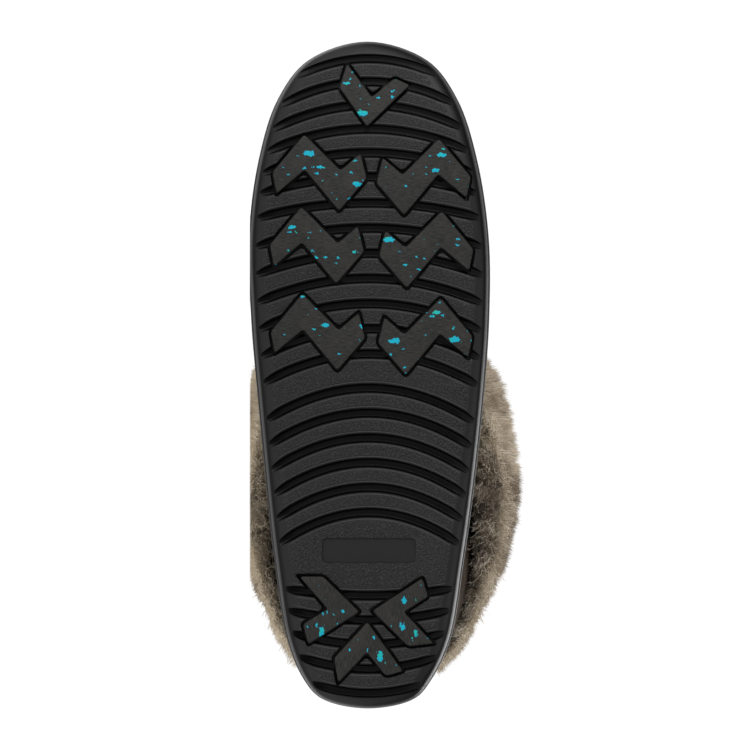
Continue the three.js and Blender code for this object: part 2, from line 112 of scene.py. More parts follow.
# Upper sections: front x, front z, back x, back z (None on the sole), inner and outer half width,
# fullness of the front and back half, share of an offset that goes ahead
SECTIONS = [
    (272.3, 34, 272.3, None, 10.5, 9.5, 2.4, 2.6, 1.0),
    (267.5, 44, 268, None, 22.5, 21.5, 2.3, 3.0, 0.8),
    (256, 53, 258, None, 31, 30, 2.2, 3.4, 0.45),
    (240, 59, 243, None, 37.2, 36.2, 2.1, 3.6, 0.2),
    (219, 64.5, 224, None, 41.7, 41, 2.1, 3.8, 0.1),
    (196, 71.5, 200, None, 44.2, 44.2, 2.1, 3.8, 0),
    (177, 80.5, 174, None, 43.6, 44.6, 2.1, 3.8, 0),
    (163, 91, 144, None, 42, 43.4, 2.1, 3.6, 0),
    (153, 103.5, 112, None, 40, 41.8, 2.2, 3.2, 0),
    (146.5, 117.5, 78, None, 38.6, 40.6, 2.3, 2.9, 0),
    (143.2, 131.5, 46, None, 38.4, 40.6, 2.5, 2.7, 0),
    (142.2, 145, 22, None, 39.4, 42, 2.6, 2.5, 0),
    (142, 156, 8.5, 24, 41, 44, 2.7, 2.3, 0),
    (142, 165, 5.2, 48, 42.6, 46.4, 2.8, 2.2, 0),
    (142, 174, 6.5, 84, 44, 48.4, 2.8, 2.2, 0),
    (142, 183, 9.5, 124, 45, 49.6, 2.9, 2.2, 0),
    (142, 191, 11.5, 162, 45.4, 50, 3.0, 2.2, 0),
    (142.3, 200, 12, 200, 45.6, 50.2, 3.0, 2.2, 0),
]

# Fur band: plan size, and levels as height at the back, height at the front, inset from full size
FUR = {"middle": 89, "front": 157, "back": -4, "inner": 61, "outer": 66.5, "taper": 0.14, "full": 6}
FUR_REAR_FULL = 2.1
FUR_RING_STEPS = 1441
FUR_LEVELS = [
    (76, 113, 16), (79, 115, 7), (92, 125, 1.5), (128, 148, 0),
    (166, 174, 0), (190, 193, 3.5), (202, 203, 10), (205, 205, 17),
]

# Angles above which an edge stays sharp, in degrees
SHARP = {"sole": 38, "insert": 35, "stitch": 60, "upper": 40, "undercoat": 60}

# Fineness of the meshes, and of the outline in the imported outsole
PACKED_OUTLINE_STEPS = 2
OUTLINE_STEPS = 8
RUNG_STEPS = 18
SIDE_STEPS = 4
SECTION_STEPS = 160
SECTION_SUBSTEPS = 10


# Curves and heights

def clamp01(value):
    return np.clip(value, 0.0, 1.0)


def smoothstep(value, low, high):
    share = clamp01((value - low) / (high - low))
    return share * share * (3 - 2 * share)


def centripetal(points, steps, closed):
    """Points of a centripetal Catmull-Rom curve, with the given steps from each point to the next."""
    points = np.asarray(points, float)
    count = len(points)
    if closed:
        padded = np.vstack([points[-1], points, points[:2]])
        spans = count
    else:
        padded = np.vstack([2 * points[0] - points[1], points, 2 * points[-1] - points[-2]])
        spans = count - 1
    out = []
    for i in range(spans):
        p0, p1, p2, p3 = padded[i:i + 4]
        d0, d1, d2 = (max(np.sum((b - a) ** 2) ** 0.25, 1e-6) for a, b in ((p0, p1), (p1, p2), (p2, p3)))
        t1 = ((p1 - p0) / d0 - (p2 - p0) / (d0 + d1) + (p2 - p1) / d1) * d1
        t2 = ((p2 - p1) / d1 - (p3 - p1) / (d1 + d2) + (p3 - p2) / d2) * d1
        t = (np.arange(steps) / steps)[:, None]
        out.append(p1 + t1 * t + (3 * (p2 - p1) - 2 * t1 - t2) * t ** 2 + (2 * (p1 - p2) + t1 + t2) * t ** 3)
    if not closed:
        out.append(points[-1:])
    return np.vstack(out)


def run_along(points):
    """Distance of each point along its path."""
    return np.r_[0, np.cumsum(np.linalg.norm(np.diff(points, axis=0), axis=1))]


def at_runs(points, run, places):
    """Points at some distances along a path."""
    return np.stack([np.interp(places, run, points[:, k]) for k in range(3)], axis=1)


def between(grid, row, column, up, aside):
    """Point between four of a grid that is closed sideways."""
    beside = (column + 1) % grid.shape[1]
    low = grid[row, column] * (1 - aside) + grid[row, beside] * aside
    high = grid[row + 1, column] * (1 - aside) + grid[row + 1, beside] * aside
    return low * (1 - up) + high * up


def unit(vectors):
    return vectors / np.maximum(np.linalg.norm(vectors, axis=-1, keepdims=True), 1e-9)


def nearest_numbers(points, targets):
    """Number of the point nearest to each target."""
    tree = KDTree(len(points))
    for number, point in enumerate(points):
        tree.insert(point, number)
    tree.balance()
    return np.array([tree.find(target)[1] for target in targets])


def rib_face(x):
    x = np.asarray(x, float)
    toe = np.maximum(0, (x - TOE_SPRING_FROM) / (LENGTH - TOE_SPRING_FROM))
    heel = clamp01((HEEL_RISE_TO - x) / HEEL_RISE_TO)
    arch = clamp01((x - ARCH_FROM) / (ARCH_TO - ARCH_FROM))
    return LUG_PROUD + TOE_SPRING * toe ** 2 + HEEL_RISE * heel ** 2 + ARCH_RISE * np.sin(np.pi * arch) ** 2


def seat_height(x):
    return rib_face(x) + BASE_FOREFOOT + (BASE_HEEL - BASE_FOREFOOT) * (1 - smoothstep(x, 60, 150))


def wall_scale(x):
    extra = WALL_EXTRA_HEEL * (1 - smoothstep(x, 20, 90)) + WALL_EXTRA_TOE * smoothstep(x, 200, LENGTH)
    return 1 + extra / WALL_HEIGHT


def outline_points(steps):
    outer = [(x, out) for x, _, out in OUTLINE]
    inner = [(x, -inn) for x, inn, _ in reversed(OUTLINE)]
    return centripetal([(0, HEEL_CENTRE), *outer, (LENGTH, TOE_CENTRE), *inner], steps, True)


OUTLINE_LOOP = outline_points(OUTLINE_STEPS)
OUTLINE_TANGENT = unit(np.roll(OUTLINE_LOOP, -1, 0) - np.roll(OUTLINE_LOOP, 1, 0))


def inset_outline(inset):
    inward = np.c_[OUTLINE_TANGENT[:, 1], -OUTLINE_TANGENT[:, 0]]
    return OUTLINE_LOOP + inward * inset


def half_width(x, side):
    """Half width of the sole at x, on the outer side (1) or the inner side (-1)."""
    half = len(OUTLINE_LOOP) // 2
    rows = OUTLINE_LOOP[:half + 1] if side > 0 else np.vstack([OUTLINE_LOOP[half:], OUTLINE_LOOP[:1]])[::-1]
    return np.interp(x, rows[:, 0], rows[:, 1] * side)


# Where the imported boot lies

LEAN_COS = math.cos(math.radians(LEAN))
LEAN_SIN = math.sin(math.radians(LEAN))
AXES = np.array([[-1, 0, 0], [0, -LEAN_SIN, LEAN_COS], [0, LEAN_COS, LEAN_SIN]])


def node_points(name):
    return np.array([v.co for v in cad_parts[name].data.vertices]) * 1000


def boot_origin():
    """Place of the standing boot's origin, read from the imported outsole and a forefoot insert."""
    sole = node_points("outsole") @ AXES.T
    insert = node_points("lug_rear_inner") @ AXES.T
    lowest_side = outline_points(PACKED_OUTLINE_STEPS)[:, 1].min()
    return np.array([sole[:, 0].min(), sole[:, 1].min() - lowest_side, insert[:, 2].min()]) @ AXES


ORIGIN = boot_origin()


def lay(points):
    """From the standing boot in millimetres to the lying one in metres."""
    return (np.asarray(points, float) @ AXES + ORIGIN) / 1000


def standing(points):
    """From the lying boot in metres back to the standing one in millimetres."""
    return (np.asarray(points, float) * 1000 - ORIGIN) @ AXES.T


# Meshes

def new_object(name, mesh):
    piece = bpy.data.objects.new(name, mesh)
    bpy.context.scene.collection.objects.link(piece)
    return piece


def mesh_piece(name, points, faces, smooth_angle=None):
    mesh = bpy.data.meshes.new(name)
    mesh.from_pydata([tuple(p) for p in lay(points)], [], faces)
    bm = bmesh.new()
    bm.from_mesh(mesh)
    bmesh.ops.recalc_face_normals(bm, faces=bm.faces)
    bm.to_mesh(mesh)
    bm.free()
    mesh.update()
    if smooth_angle is not None:
        smooth(mesh, smooth_angle)
    return new_object(name, mesh)


def smooth(mesh, angle):
    mesh.polygons.foreach_set("use_smooth", np.ones(len(mesh.polygons), bool))
    mesh.set_sharp_from_angle(angle=math.radians(angle))


def ring_faces(rings, count):
    starts = [(r * count, i) for r in range(rings - 1) for i in range(count)]
    corners = [(first + i, first + (i + 1) % count) for first, i in starts]
    return [(a, b, b + count, a + count) for a, b in corners]


def lofted(rings):
    """Points and faces of a closed form through rings of equal count, its ends closed by one face."""
    count = len(rings[0])
    last = (len(rings) - 1) * count
    ends = [tuple(reversed(range(count))), tuple(range(last, last + count))]
    return np.vstack(rings), ring_faces(len(rings), count) + ends


def merged_forms(forms):
    points, faces, start = [], [], 0
    for form_points, form_faces in forms:
        points.append(form_points)
        faces.extend(tuple(i + start for i in face) for face in form_faces)
        start += len(form_points)
    return np.vstack(points), faces


def cut(piece, cutter):
    modifier = piece.modifiers.new("cut", "BOOLEAN")
    modifier.operation = "DIFFERENCE"
    modifier.solver = "MANIFOLD"
    modifier.object = cutter
    bpy.context.view_layer.update()
    evaluated = piece.evaluated_get(bpy.context.evaluated_depsgraph_get())
    mesh = bpy.data.meshes.new_from_object(evaluated)
    piece.modifiers.clear()
    spent = [piece.data, cutter.data]
    piece.data = mesh
    bpy.data.objects.remove(cutter)
    for old in spent:
        bpy.data.meshes.remove(old)


def store(mesh, name, values):
    """Keeps a number or a vector at each point of a mesh, for its material."""
    kind, key = ("FLOAT_VECTOR", "vector") if values.ndim == 2 else ("FLOAT", "value")
    attribute = mesh.attributes.new(name, kind, "POINT")
    attribute.data.foreach_set(key, values.ravel().astype(np.float32))


def wear(piece, material):
    piece.data.materials.clear()
    piece.data.materials.append(material)


def stand_in(piece, node):
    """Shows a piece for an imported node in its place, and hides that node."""
    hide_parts(node)
    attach(piece, "root")


# Sole

def side_rings():
    profile = centripetal(SIDE_PROFILE, SIDE_STEPS, False)
    profile[:SIDE_STEPS, 1] = np.maximum(profile[:SIDE_STEPS, 1], 0)
    rings = []
    for inset, lift in profile:
        plan = inset_outline(inset)
        height = rib_face(plan[:, 0]) + lift * wall_scale(plan[:, 0])
        rings.append(above_floor(np.c_[plan, height], FLOOR_CLEAR))
    return rings


def ladder_faces(start, count):
    """Closes a ring by strips across it, from each point to the one that faces it."""
    half = count // 2
    faces = [(start, start + 1, start + count - 1)]
    faces.append((start + half - 1, start + half, start + half + 1))
    for i in range(1, half - 1):
        faces.append((start + i, start + i + 1, start + count - i - 1, start + count - i))
    return faces


def sole_block():
    """The sole before its tread and its hollow are cut: side rings, a fine underside and a flat top."""
    rings = side_rings()
    count = len(rings[0])
    half = count // 2
    points, faces = np.vstack(rings), ring_faces(len(rings), count)
    faces.extend(ladder_faces((len(rings) - 1) * count, count))
    bottom = rings[0]
    inner_rows = []
    extra = []
    start = len(points)
    for i in range(1, half):
        left, right = bottom[i], bottom[(count - i) % count]
        share = (np.arange(1, RUNG_STEPS) / RUNG_STEPS)[:, None]
        rung = left + (right - left) * share
        rung[:, 2] = rib_face(rung[:, 0])
        inner_rows.append([i, *range(start, start + RUNG_STEPS - 1), (count - i) % count])
        start += RUNG_STEPS - 1
        extra.append(rung)
    for above, below in zip(inner_rows, inner_rows[1:]):
        faces.extend((above[k], above[k + 1], below[k + 1], below[k]) for k in range(RUNG_STEPS))
    first, last = inner_rows[0], inner_rows[-1]
    faces.extend((0, first[k + 1], first[k]) for k in range(RUNG_STEPS))
    faces.extend((half, last[k], last[k + 1]) for k in range(RUNG_STEPS))
    return np.vstack([points, *extra]), faces


# Groove section: distance from its middle line, and depth below the rib face
GROOVE_SECTION = [
    (2.6, -3.0), (2.6, 0.0), (2.25, 0.06), (2.02, 0.26), (1.88, 0.62),
    (1.6, 2.2), (1.42, 2.7), (1.05, 2.96), (0.5, 3.04),
]
GROOVE_MARGIN = 1.4
GROOVE_TIP = 10.0
GROOVE_TIP_DEPTH = 0.15
GROOVE_TIP_START = 0.25
GROOVE_STEP = 1.2
GROOVE_REACH = np.arange(0, 56, 0.25)


def groove_lines():
    """Middle line of each groove, from the inner to the outer side, as x and y."""
    lines = []
    for first, pitch, count, sweep_first, sweep_last in GROOVE_ZONES:
        for i in range(count):
            middle = first + pitch * i
            sweep = sweep_first + (sweep_last - sweep_first) * i / (count - 1)
            ends = []
            for side in (-1, 1):
                x = middle + sweep * (GROOVE_REACH / SWEEP_HALF_WIDTH) ** 2
                outside = GROOVE_REACH > half_width(x, side) - GROOVE_MARGIN
                ends.append(side * GROOVE_REACH[np.argmax(outside)])
            steps = int((ends[1] - ends[0]) / GROOVE_STEP)
            y = np.linspace(ends[0], ends[1], steps)
            lines.append(np.c_[middle + sweep * (y / SWEEP_HALF_WIDTH) ** 2, y])
    return lines


def groove_form(line):
    section = np.array(GROOVE_SECTION + [(-d, h) for d, h in reversed(GROOVE_SECTION)])
    tangent = unit(np.gradient(line, axis=0))
    normal = np.c_[tangent[:, 1], -tangent[:, 0]]
    run = run_along(line)
    to_end = np.minimum(run, run[-1] - run) + GROOVE_TIP_START
    narrow = np.sqrt(1 - (1 - clamp01(to_end / GROOVE_TIP)) ** 2)
    deep = GROOVE_TIP_DEPTH + (1 - GROOVE_TIP_DEPTH) * narrow ** 2
    rings = []
    for point, side, width, depth in zip(line, normal, narrow, deep):
        plan = point + np.outer(section[:, 0] * width, side)
        lift = np.where(section[:, 1] > 0, section[:, 1] * depth, section[:, 1])
        rings.append(np.c_[plan, rib_face(plan[:, 0]) + lift])
    return lofted(rings)


def grown(points, grow):
    """Moves each side of a flat outline out by the same distance."""
    points = np.asarray(points, float)
    if grow == 0:
        return points
    after = unit(np.roll(points, -1, 0) - points)
    normal_after = np.c_[after[:, 1], -after[:, 0]]
    normal_before = np.roll(normal_after, 1, 0)
    follow = np.roll(points, -1, 0)
    area = np.sum(points[:, 0] * follow[:, 1] - follow[:, 0] * points[:, 1])
    scale = math.copysign(grow, area * grow) / (1 + np.sum(normal_before * normal_after, 1))
    return points + (normal_before + normal_after) * scale[:, None]


CORNER_STEPS = np.linspace(0, 1, 4)
CORNER_MOST = 0.4


def rounded(points, radius):
    """Replaces each corner of a flat outline by an arc-like curve of a few points."""
    out = []
    count = len(points)
    for i in range(count):
        corner = points[i]
        before = points[i - 1] - corner
        after = points[(i + 1) % count] - corner
        reach = min(radius, CORNER_MOST * np.linalg.norm(before), CORNER_MOST * np.linalg.norm(after))
        start, end = corner + unit(before) * reach, corner + unit(after) * reach
        for t in CORNER_STEPS:
            out.append((1 - t) ** 2 * start + 2 * t * (1 - t) * corner + t ** 2 * end)
    return np.array(out)


def zigzag_outline(x, y, side):
    back = -OUTER_ROW_BACK if side > 0 else 0
    return np.array([(x + back + fore, ZIGZAG_CENTRE + side * (y - across)) for across, fore in ZIGZAG])


def insert_outlines():
    outlines = {f"lug_{name}": np.array(corners) for name, corners in CHEVRONS.items()}
    for name, x, y in ZIGZAG_ROWS:
        outlines[f"lug_{name}_inner"] = zigzag_outline(x, y, -1)
        outlines[f"lug_{name}_outer"] = zigzag_outline(x, y, 1)
    return outlines


# Sides of a pocket, an insert and the plate: growth of the outline, and depth below the rib face
POCKET_SECTION = [
    (1.75, -3.0), (1.75, 0.0), (1.4, 0.05), (1.18, 0.2), (1.08, 0.5), (1.0, 2.7), (0.8, 3.0),
]
INSERT_SECTION = [(-0.42, -0.8), (-0.2, -0.74), (-0.06, -0.58), (0.0, -0.35), (0.0, 2.7)]
PLATE_SECTION = [(0.45, -3.0), (0.45, 0.0), (0.15, 0.1), (0.0, 0.3), (0.0, PLATE["depth"])]
POCKET_CORNER = 2.0
INSERT_CORNER = 1.2
PLATE_CORNER = 2.2


def outline_form(outline, section, corner):
    rings = []
    for grow, depth in section:
        plan = rounded(grown(outline, grow), corner)
        rings.append(np.c_[plan, rib_face(plan[:, 0]) + depth])
    return lofted(rings)


def plate_form():
    half_length, half_wide = PLATE["length"] / 2, PLATE["width"] / 2
    corners = np.array([(-1, -1), (1, -1), (1, 1), (-1, 1)]) * (half_length, half_wide) + (PLATE["x"], 0)
    return outline_form(corners, PLATE_SECTION, PLATE_CORNER)


def add_place(piece):
    """Stores each point's standing x and y, and its depth below the rib face, for the materials."""
    mesh = piece.data
    coords = np.empty(len(mesh.vertices) * 3)
    mesh.vertices.foreach_get("co", coords)
    place = standing(coords.reshape(-1, 3))
    place[:, 2] -= rib_face(place[:, 0])
    store(mesh, "place", place)


def make_outsole():
    piece = mesh_piece("outsole_rubber", *sole_block())
    cut(piece, mesh_piece("cut_grooves", *merged_forms([groove_form(line) for line in groove_lines()])))
    pockets = [outline_form(o, POCKET_SECTION, POCKET_CORNER) for o in insert_outlines().values()]
    for number, pocket in enumerate(pockets):
        cut(piece, mesh_piece(f"cut_pocket_{number}", *pocket))
    cut(piece, mesh_piece("cut_plate", *plate_form()))
    cut(piece, mesh_piece("cut_hollow", *sock_form(FIT_GAP)))
    smooth(piece.data, SHARP["sole"])
    add_place(piece)
    wear(piece, sole_material())
    stand_in(piece, "outsole")


def make_inserts():
    front_material = grip_material("grip_rubber_front", False)
    heel_material = grip_material("grip_rubber_heel", True)
    for name, outline in insert_outlines().items():
        form = outline_form(outline, INSERT_SECTION, INSERT_CORNER)
        piece = mesh_piece(name.replace("lug", "grip"), *form, SHARP["insert"])
        add_place(piece)
        wear(piece, heel_material if "heel" in name else front_material)
        stand_in(piece, name)


# Upper

def superellipse(angle, fullness):
    lengthwise, sideways = np.cos(angle), np.sin(angle)
    power = 2 / fullness
    return np.sign(lengthwise) * np.abs(lengthwise) ** power, np.sign(sideways) * np.abs(sideways) ** power


def fine_sections():
    """The sections with steps between them. A back edge that lies on the sole stays on it."""
    rows = []
    for front_x, front_z, back_x, back_z, *rest in SECTIONS:
        on_sole = back_z is None
        height = float(seat_height(back_x)) + FIT_GAP if on_sole else back_z
        rows.append([front_x, front_z, back_x, height, *rest, float(on_sole)])
    fine = centripetal(rows, SECTION_SUBSTEPS, False)
    seated = fine[:, 9] > 0.999
    fine[seated, 3] = seat_height(fine[seated, 2]) + FIT_GAP
    return fine


FINE_SECTIONS = fine_sections()
SECTION_ANGLES = np.arange(SECTION_STEPS) * 2 * math.pi / SECTION_STEPS


def section_ring(section, offset):
    front_x, front_z, back_x, back_z, inner, outer, full_front, full_back, ahead, _ = section
    span = math.hypot(front_x - back_x, front_z - back_z)
    along = np.array([front_x - back_x, front_z - back_z]) / span
    centre = np.array([(front_x + back_x) / 2 + ahead * offset, (front_z + back_z) / 2])
    fullness = np.where(np.cos(SECTION_ANGLES) > 0, full_front, full_back)
    lengthwise, sideways = superellipse(SECTION_ANGLES, fullness)
    side = centre + np.outer(lengthwise * (span / 2 + offset), along)
    width = np.where(sideways > 0, outer, inner) + offset
    return np.c_[side[:, 0], sideways * width, side[:, 1]]


def sock_rings(offset):
    return np.array([section_ring(section, offset) for section in FINE_SECTIONS])


def sock_form(offset, above=0.0):
    rings = list(sock_rings(offset))
    if above:
        rings.append(rings[-1] + (0, 0, above))
    return lofted(rings)


SEAM_FIRST = 2
SEAM_LAST = 7
SEAM_ANGLE = math.radians(51.4)
SEAM_RAISE = 1.7
SEAM_HALF_WIDTH = 2.0
SEAM_RADIUS = 42.0
SEAM_SECTION_LENGTH = 12.0
PUCKER_HEIGHT = 0.55
PUCKER_REACH = 9.0
PUCKER_TURNS = (26.0, 9.0)
CREASE_BOW = 0.35
CREASE_RIDGE_HEIGHT = 0.55
CREASE_RIDGE_AT = 1.7

# Creases where the foot bends and where the shaft folds on the instep, as places in the shoe:
# section, half angle they reach round, depth, and half width in sections
CREASES = [
    (3.6, 46, 1.5, 0.17), (4.25, 62, 2.5, 0.2), (4.9, 74, 3.3, 0.22), (5.6, 68, 2.5, 0.2),
    (7.2, 88, 2.8, 0.24), (8.0, 104, 3.6, 0.28), (8.8, 96, 2.6, 0.24),
]


def outer_relief():
    """How far each point of the upper's outside stands out: seam ridge, puckers and creases."""
    place = np.arange(len(FINE_SECTIONS))[:, None] / SECTION_SUBSTEPS
    angle = ((SECTION_ANGLES + math.pi) % (2 * math.pi) - math.pi)[None, :]
    beside = np.abs(np.abs(angle) - SEAM_ANGLE) * SEAM_RADIUS
    along_sides = np.exp(-(beside / SEAM_HALF_WIDTH) ** 2) * smoothstep(place, SEAM_FIRST, SEAM_FIRST + 0.4)
    along_sides = along_sides * (1 - smoothstep(place, SEAM_LAST - 0.3, SEAM_LAST + 0.3))
    ahead = np.abs(place - SEAM_FIRST) * SEAM_SECTION_LENGTH
    round_toe = np.exp(-(ahead / SEAM_HALF_WIDTH) ** 2) * (np.abs(angle) < SEAM_ANGLE)
    relief = SEAM_RAISE * np.maximum(along_sides, round_toe)
    outside_seam = smoothstep(np.abs(angle), SEAM_ANGLE, SEAM_ANGLE + 0.1)
    pucker_fade = np.exp(-((np.abs(angle) - SEAM_ANGLE) * SEAM_RADIUS / PUCKER_REACH) ** 2) * outside_seam
    toe_share = 1 - smoothstep(place, 2.2, 4.5)
    wave = np.sin(place * PUCKER_TURNS[0] + angle * PUCKER_TURNS[1])
    relief = relief + PUCKER_HEIGHT * pucker_fade * toe_share * wave
    for at, reach, depth, half in CREASES:
        bow = at - CREASE_BOW * (angle / math.radians(reach)) ** 2
        fade = 1 - smoothstep(np.abs(angle), math.radians(reach * 0.5), math.radians(reach))
        trough = np.exp(-((place - bow) / half) ** 2)
        ridge = np.exp(-((place - bow - CREASE_RIDGE_AT * half) / half) ** 2)
        relief = relief + fade * (CREASE_RIDGE_HEIGHT * depth * ridge - depth * trough)
    return relief


def outward_offset(grid, relief):
    """Moves a grid's points straight out of its surface."""
    around = np.roll(grid, -1, 1) - np.roll(grid, 1, 1)
    along = np.gradient(grid, axis=0)
    normal = unit(np.cross(around, along))
    centre = grid.mean(axis=1, keepdims=True)
    facing = np.sign(np.sum(normal * (grid - centre), axis=2, keepdims=True))
    return grid + normal * facing * relief[:, :, None]


COLLAR_TURNS = (30, 60, 90, 120, 150)


def collar_rings(outer, inner):
    """A rounded edge from the outside of the shaft over to its inside."""
    middle = (outer + inner) / 2
    return [middle + (outer - middle) * math.cos(turn) + (0, 0, UPPER_WALL / 2 * math.sin(turn))
            for turn in np.radians(COLLAR_TURNS)]


STITCH_STEP = 4.6
STITCH_LENGTH = 3.0
STITCH_RADIUS = 0.42
STITCH_BESIDE = 0.085
STITCH_TURNS = np.arange(6) * math.pi / 3
STITCH_PATH_STEPS = (60, 40)
STITCH_TOE_SHIFT = 2.6


def surface_point(grid, place, angle):
    """Point of the upper's outside at a section place and an angle round it."""
    row = min(place * SECTION_SUBSTEPS, len(grid) - 1.001)
    column = (angle / (2 * math.pi) * SECTION_STEPS) % SECTION_STEPS
    return between(grid, int(row), int(column), row % 1, column % 1)


def stitch_form(start, end, out):
    """One stitch of thread: a small arched bar that dips into the suede at both ends."""
    along = end - start
    side = np.cross(out, unit(along))
    rings = []
    for t in (0.0, 0.2, 0.5, 0.8, 1.0):
        lift = STITCH_RADIUS * (1.3 * math.sin(math.pi * t) - 0.5)
        thick = STITCH_RADIUS * (0.55 + 0.45 * math.sin(math.pi * t))
        round_it = np.outer(np.cos(STITCH_TURNS), side) + np.outer(np.sin(STITCH_TURNS), out)
        rings.append(start + along * t + out * lift + round_it * thick)
    return lofted(rings)


def make_stitches(grid):
    """Two rows of stitches beside the seam, from the toe back along both sides of the instep."""
    forms = []
    for offset in (-STITCH_BESIDE, STITCH_BESIDE):
        turn = SEAM_ANGLE + offset
        back = [(place, -turn) for place in np.linspace(SEAM_LAST, SEAM_FIRST, STITCH_PATH_STEPS[0])]
        toe_place = SEAM_FIRST - offset * STITCH_TOE_SHIFT
        over = [(toe_place, angle) for angle in np.linspace(-turn, turn, STITCH_PATH_STEPS[1])[1:-1]]
        path = back + over + [(place, -angle) for place, angle in reversed(back)]
        points = np.array([surface_point(grid, place, angle) for place, angle in path])
        run = run_along(points)
        centre = grid.mean(axis=1)
        for first in np.arange(2, run[-1] - STITCH_STEP, STITCH_STEP):
            ends = at_runs(points, run, [first, first + STITCH_LENGTH])
            middle = (ends[0] + ends[1]) / 2
            nearest = centre[np.argmin(np.linalg.norm(centre - middle, axis=1))]
            ahead = unit(ends[1] - ends[0])
            out = middle - nearest
            out = unit(out - ahead * np.dot(out, ahead))
            forms.append(stitch_form(*ends, out))
    piece = mesh_piece("seam_stitches", *merged_forms(forms), SHARP["stitch"])
    wear(piece, thread_material())
    stand_in(piece, "upper")


# Share of a crease's depth that shows on the inside too
INSIDE_FOLLOWS = 0.85


def make_upper():
    relief = outer_relief()
    outer = outward_offset(sock_rings(0), relief)
    make_stitches(outer)
    inner = outward_offset(sock_rings(-UPPER_WALL), INSIDE_FOLLOWS * np.minimum(relief, 0))
    rings = [*outer, *collar_rings(outer[-1], inner[-1]), *inner[::-1]]
    points, faces = lofted(rings)
    piece = mesh_piece("upper_suede", points, faces)
    piece.data.materials.append(suede_material())
    piece.data.materials.append(fleece_material())
    outside = (len(outer) + 2) * SECTION_STEPS
    inside = [min(face) >= outside for face in faces]
    piece.data.polygons.foreach_set("material_index", np.array(inside, np.int32))
    cut(piece, mesh_piece("cut_underneath", *underside_form()))
    nearest = nearest_numbers(lay(outer.reshape(-1, 3)), [v.co for v in piece.data.vertices])
    store(piece.data, "relief", relief.ravel()[nearest])
    smooth(piece.data, SHARP["upper"])
    stand_in(piece, "upper")


SOLE_EDGE = 5.0
LASTING_MARGIN = 9.0
BELOW_SOLE = -5.0


def underside_form():
    """The opening of the upper underneath, inside the lasting margin."""
    plan = inset_outline(SOLE_EDGE + LASTING_MARGIN)
    top = seat_height(plan[:, 0]) + 2 * UPPER_WALL
    rings = [np.c_[plan, np.full(len(plan), BELOW_SOLE)], np.c_[plan, top]]
    count = len(plan)
    faces = ring_faces(len(rings), count) + ladder_faces(0, count) + ladder_faces(count, count)
    return np.vstack(rings), faces


# Fur

def fur_point(angle, level, inset_extra):
    """Points of the fur's full form, drawn in by some millimetres. Level 0 is its lower edge."""
    table = np.array(FUR_LEVELS, float)
    index = np.arange(len(table))
    back = np.interp(level, index, table[:, 0])
    front = np.interp(level, index, table[:, 1])
    inset = np.interp(level, index, table[:, 2]) + inset_extra
    is_front = np.cos(angle) > 0
    u, v = superellipse(angle, np.where(is_front, FUR["full"], FUR_REAR_FULL))
    reach = np.where(is_front, FUR["front"] - FUR["middle"], FUR["middle"] - FUR["back"])
    half = np.where(v > 0, FUR["outer"], FUR["inner"])
    taper = np.where(is_front, 1 - FUR["taper"] * u, 1)
    x = FUR["middle"] + u * (reach - inset)
    share = (x - FUR["back"]) / (FUR["front"] - FUR["back"])
    return np.stack([x, v * (half * taper - inset), back + (front - back) * share], axis=-1)


def fur_ring(level, inset, count):
    """Evenly spaced points round the fur's form at one level, drawn in by some millimetres."""
    dense = fur_point(np.linspace(0, 2 * math.pi, FUR_RING_STEPS), level, inset)
    run = run_along(dense)
    return at_runs(dense, run, np.arange(count) * run[-1] / count)


UNDERCOAT_INSET = 8.0
UNDERCOAT_AROUND = 160
UNDERCOAT_LEVELS = 45
UNDERCOAT_WAVE = 0.9
FLOOR_CLEAR = 0.0003


def above_floor(points, clear):
    """Presses standing points that would lie under the floor flat on it."""
    laid = lay(points)
    laid[:, 2] = np.maximum(laid[:, 2], clear)
    return standing(laid)


def make_undercoat(material):
    turn = np.arange(UNDERCOAT_AROUND) * 2 * math.pi / UNDERCOAT_AROUND
    rings = []
    for number, level in enumerate(np.linspace(0, len(FUR_LEVELS) - 1, UNDERCOAT_LEVELS)):
        ring = fur_ring(level, UNDERCOAT_INSET, UNDERCOAT_AROUND)
        wave = UNDERCOAT_WAVE * np.sin(turn * 17 + 1.3 * number) * np.sin(0.9 * number + turn * 5)
        ring[:, :2] += (ring[:, :2] - (FUR["middle"], 0)) * (wave / 55)[:, None]
        rings.append(above_floor(ring, FLOOR_CLEAR))
    piece = mesh_piece("fur_undercoat", *lofted(rings))
    cut(piece, mesh_piece("cut_shaft", *sock_form(FIT_GAP, ABOVE_COLLAR)))
    smooth(piece.data, SHARP["undercoat"])
    wear(piece, material)
    stand_in(piece, "fur_cuff")


HAIR_PIECES = ["fur_front", "fur_outer", "fur_rear"]
HAIRS_PER_PIECE = 39000
CLUMPS = 2600
HAIR_LENGTH = (13.0, 19.0)
HAIR_WIDTH = 0.34
HAIR_STATIONS = np.array([0.0, 0.38, 0.72, 1.0])
HAIR_TAPER = np.array([1.0, 0.9, 0.6])
BLADE_POINTS = 7

# How clumps and hairs differ: sizes, pull towards a clump's middle, directions and tones
CLUMP_SIZES = (0.8, 1.12)
CLUMP_PULL = (0.22, 0.62)
CLUMP_STRAY = 0.26
START_STRAY = 0.16
END_STRAY = 0.2
CLUMP_TONE_SPREAD = 0.12
HAIR_TONE_SPREAD = 0.2

# Longer hairs that hang from the lower edge of the band over the suede
FRINGE_HAIRS = 28000
FRINGE_CLUMPS = 420
FRINGE_LENGTH = (26.0, 42.0)
FRINGE_LEVELS = (0.0, 1.7)
# Painted light: fringe hairs are made paler, for light in the shade under the fur band
FRINGE_PAINTED_LIGHT = 0.24

# Where hair may grow, and where it stands closer
SHAFT_MIDDLE = (75.0, 0.0, 150.0)
ABOVE_COLLAR = 40.0
COLLAR_ZONE = 185.0
ROOT_GRID = (90, 300)
DENSE_BELOW = 2.6
DENSE_FACTOR = 1.5
LEG_AT = 80.0


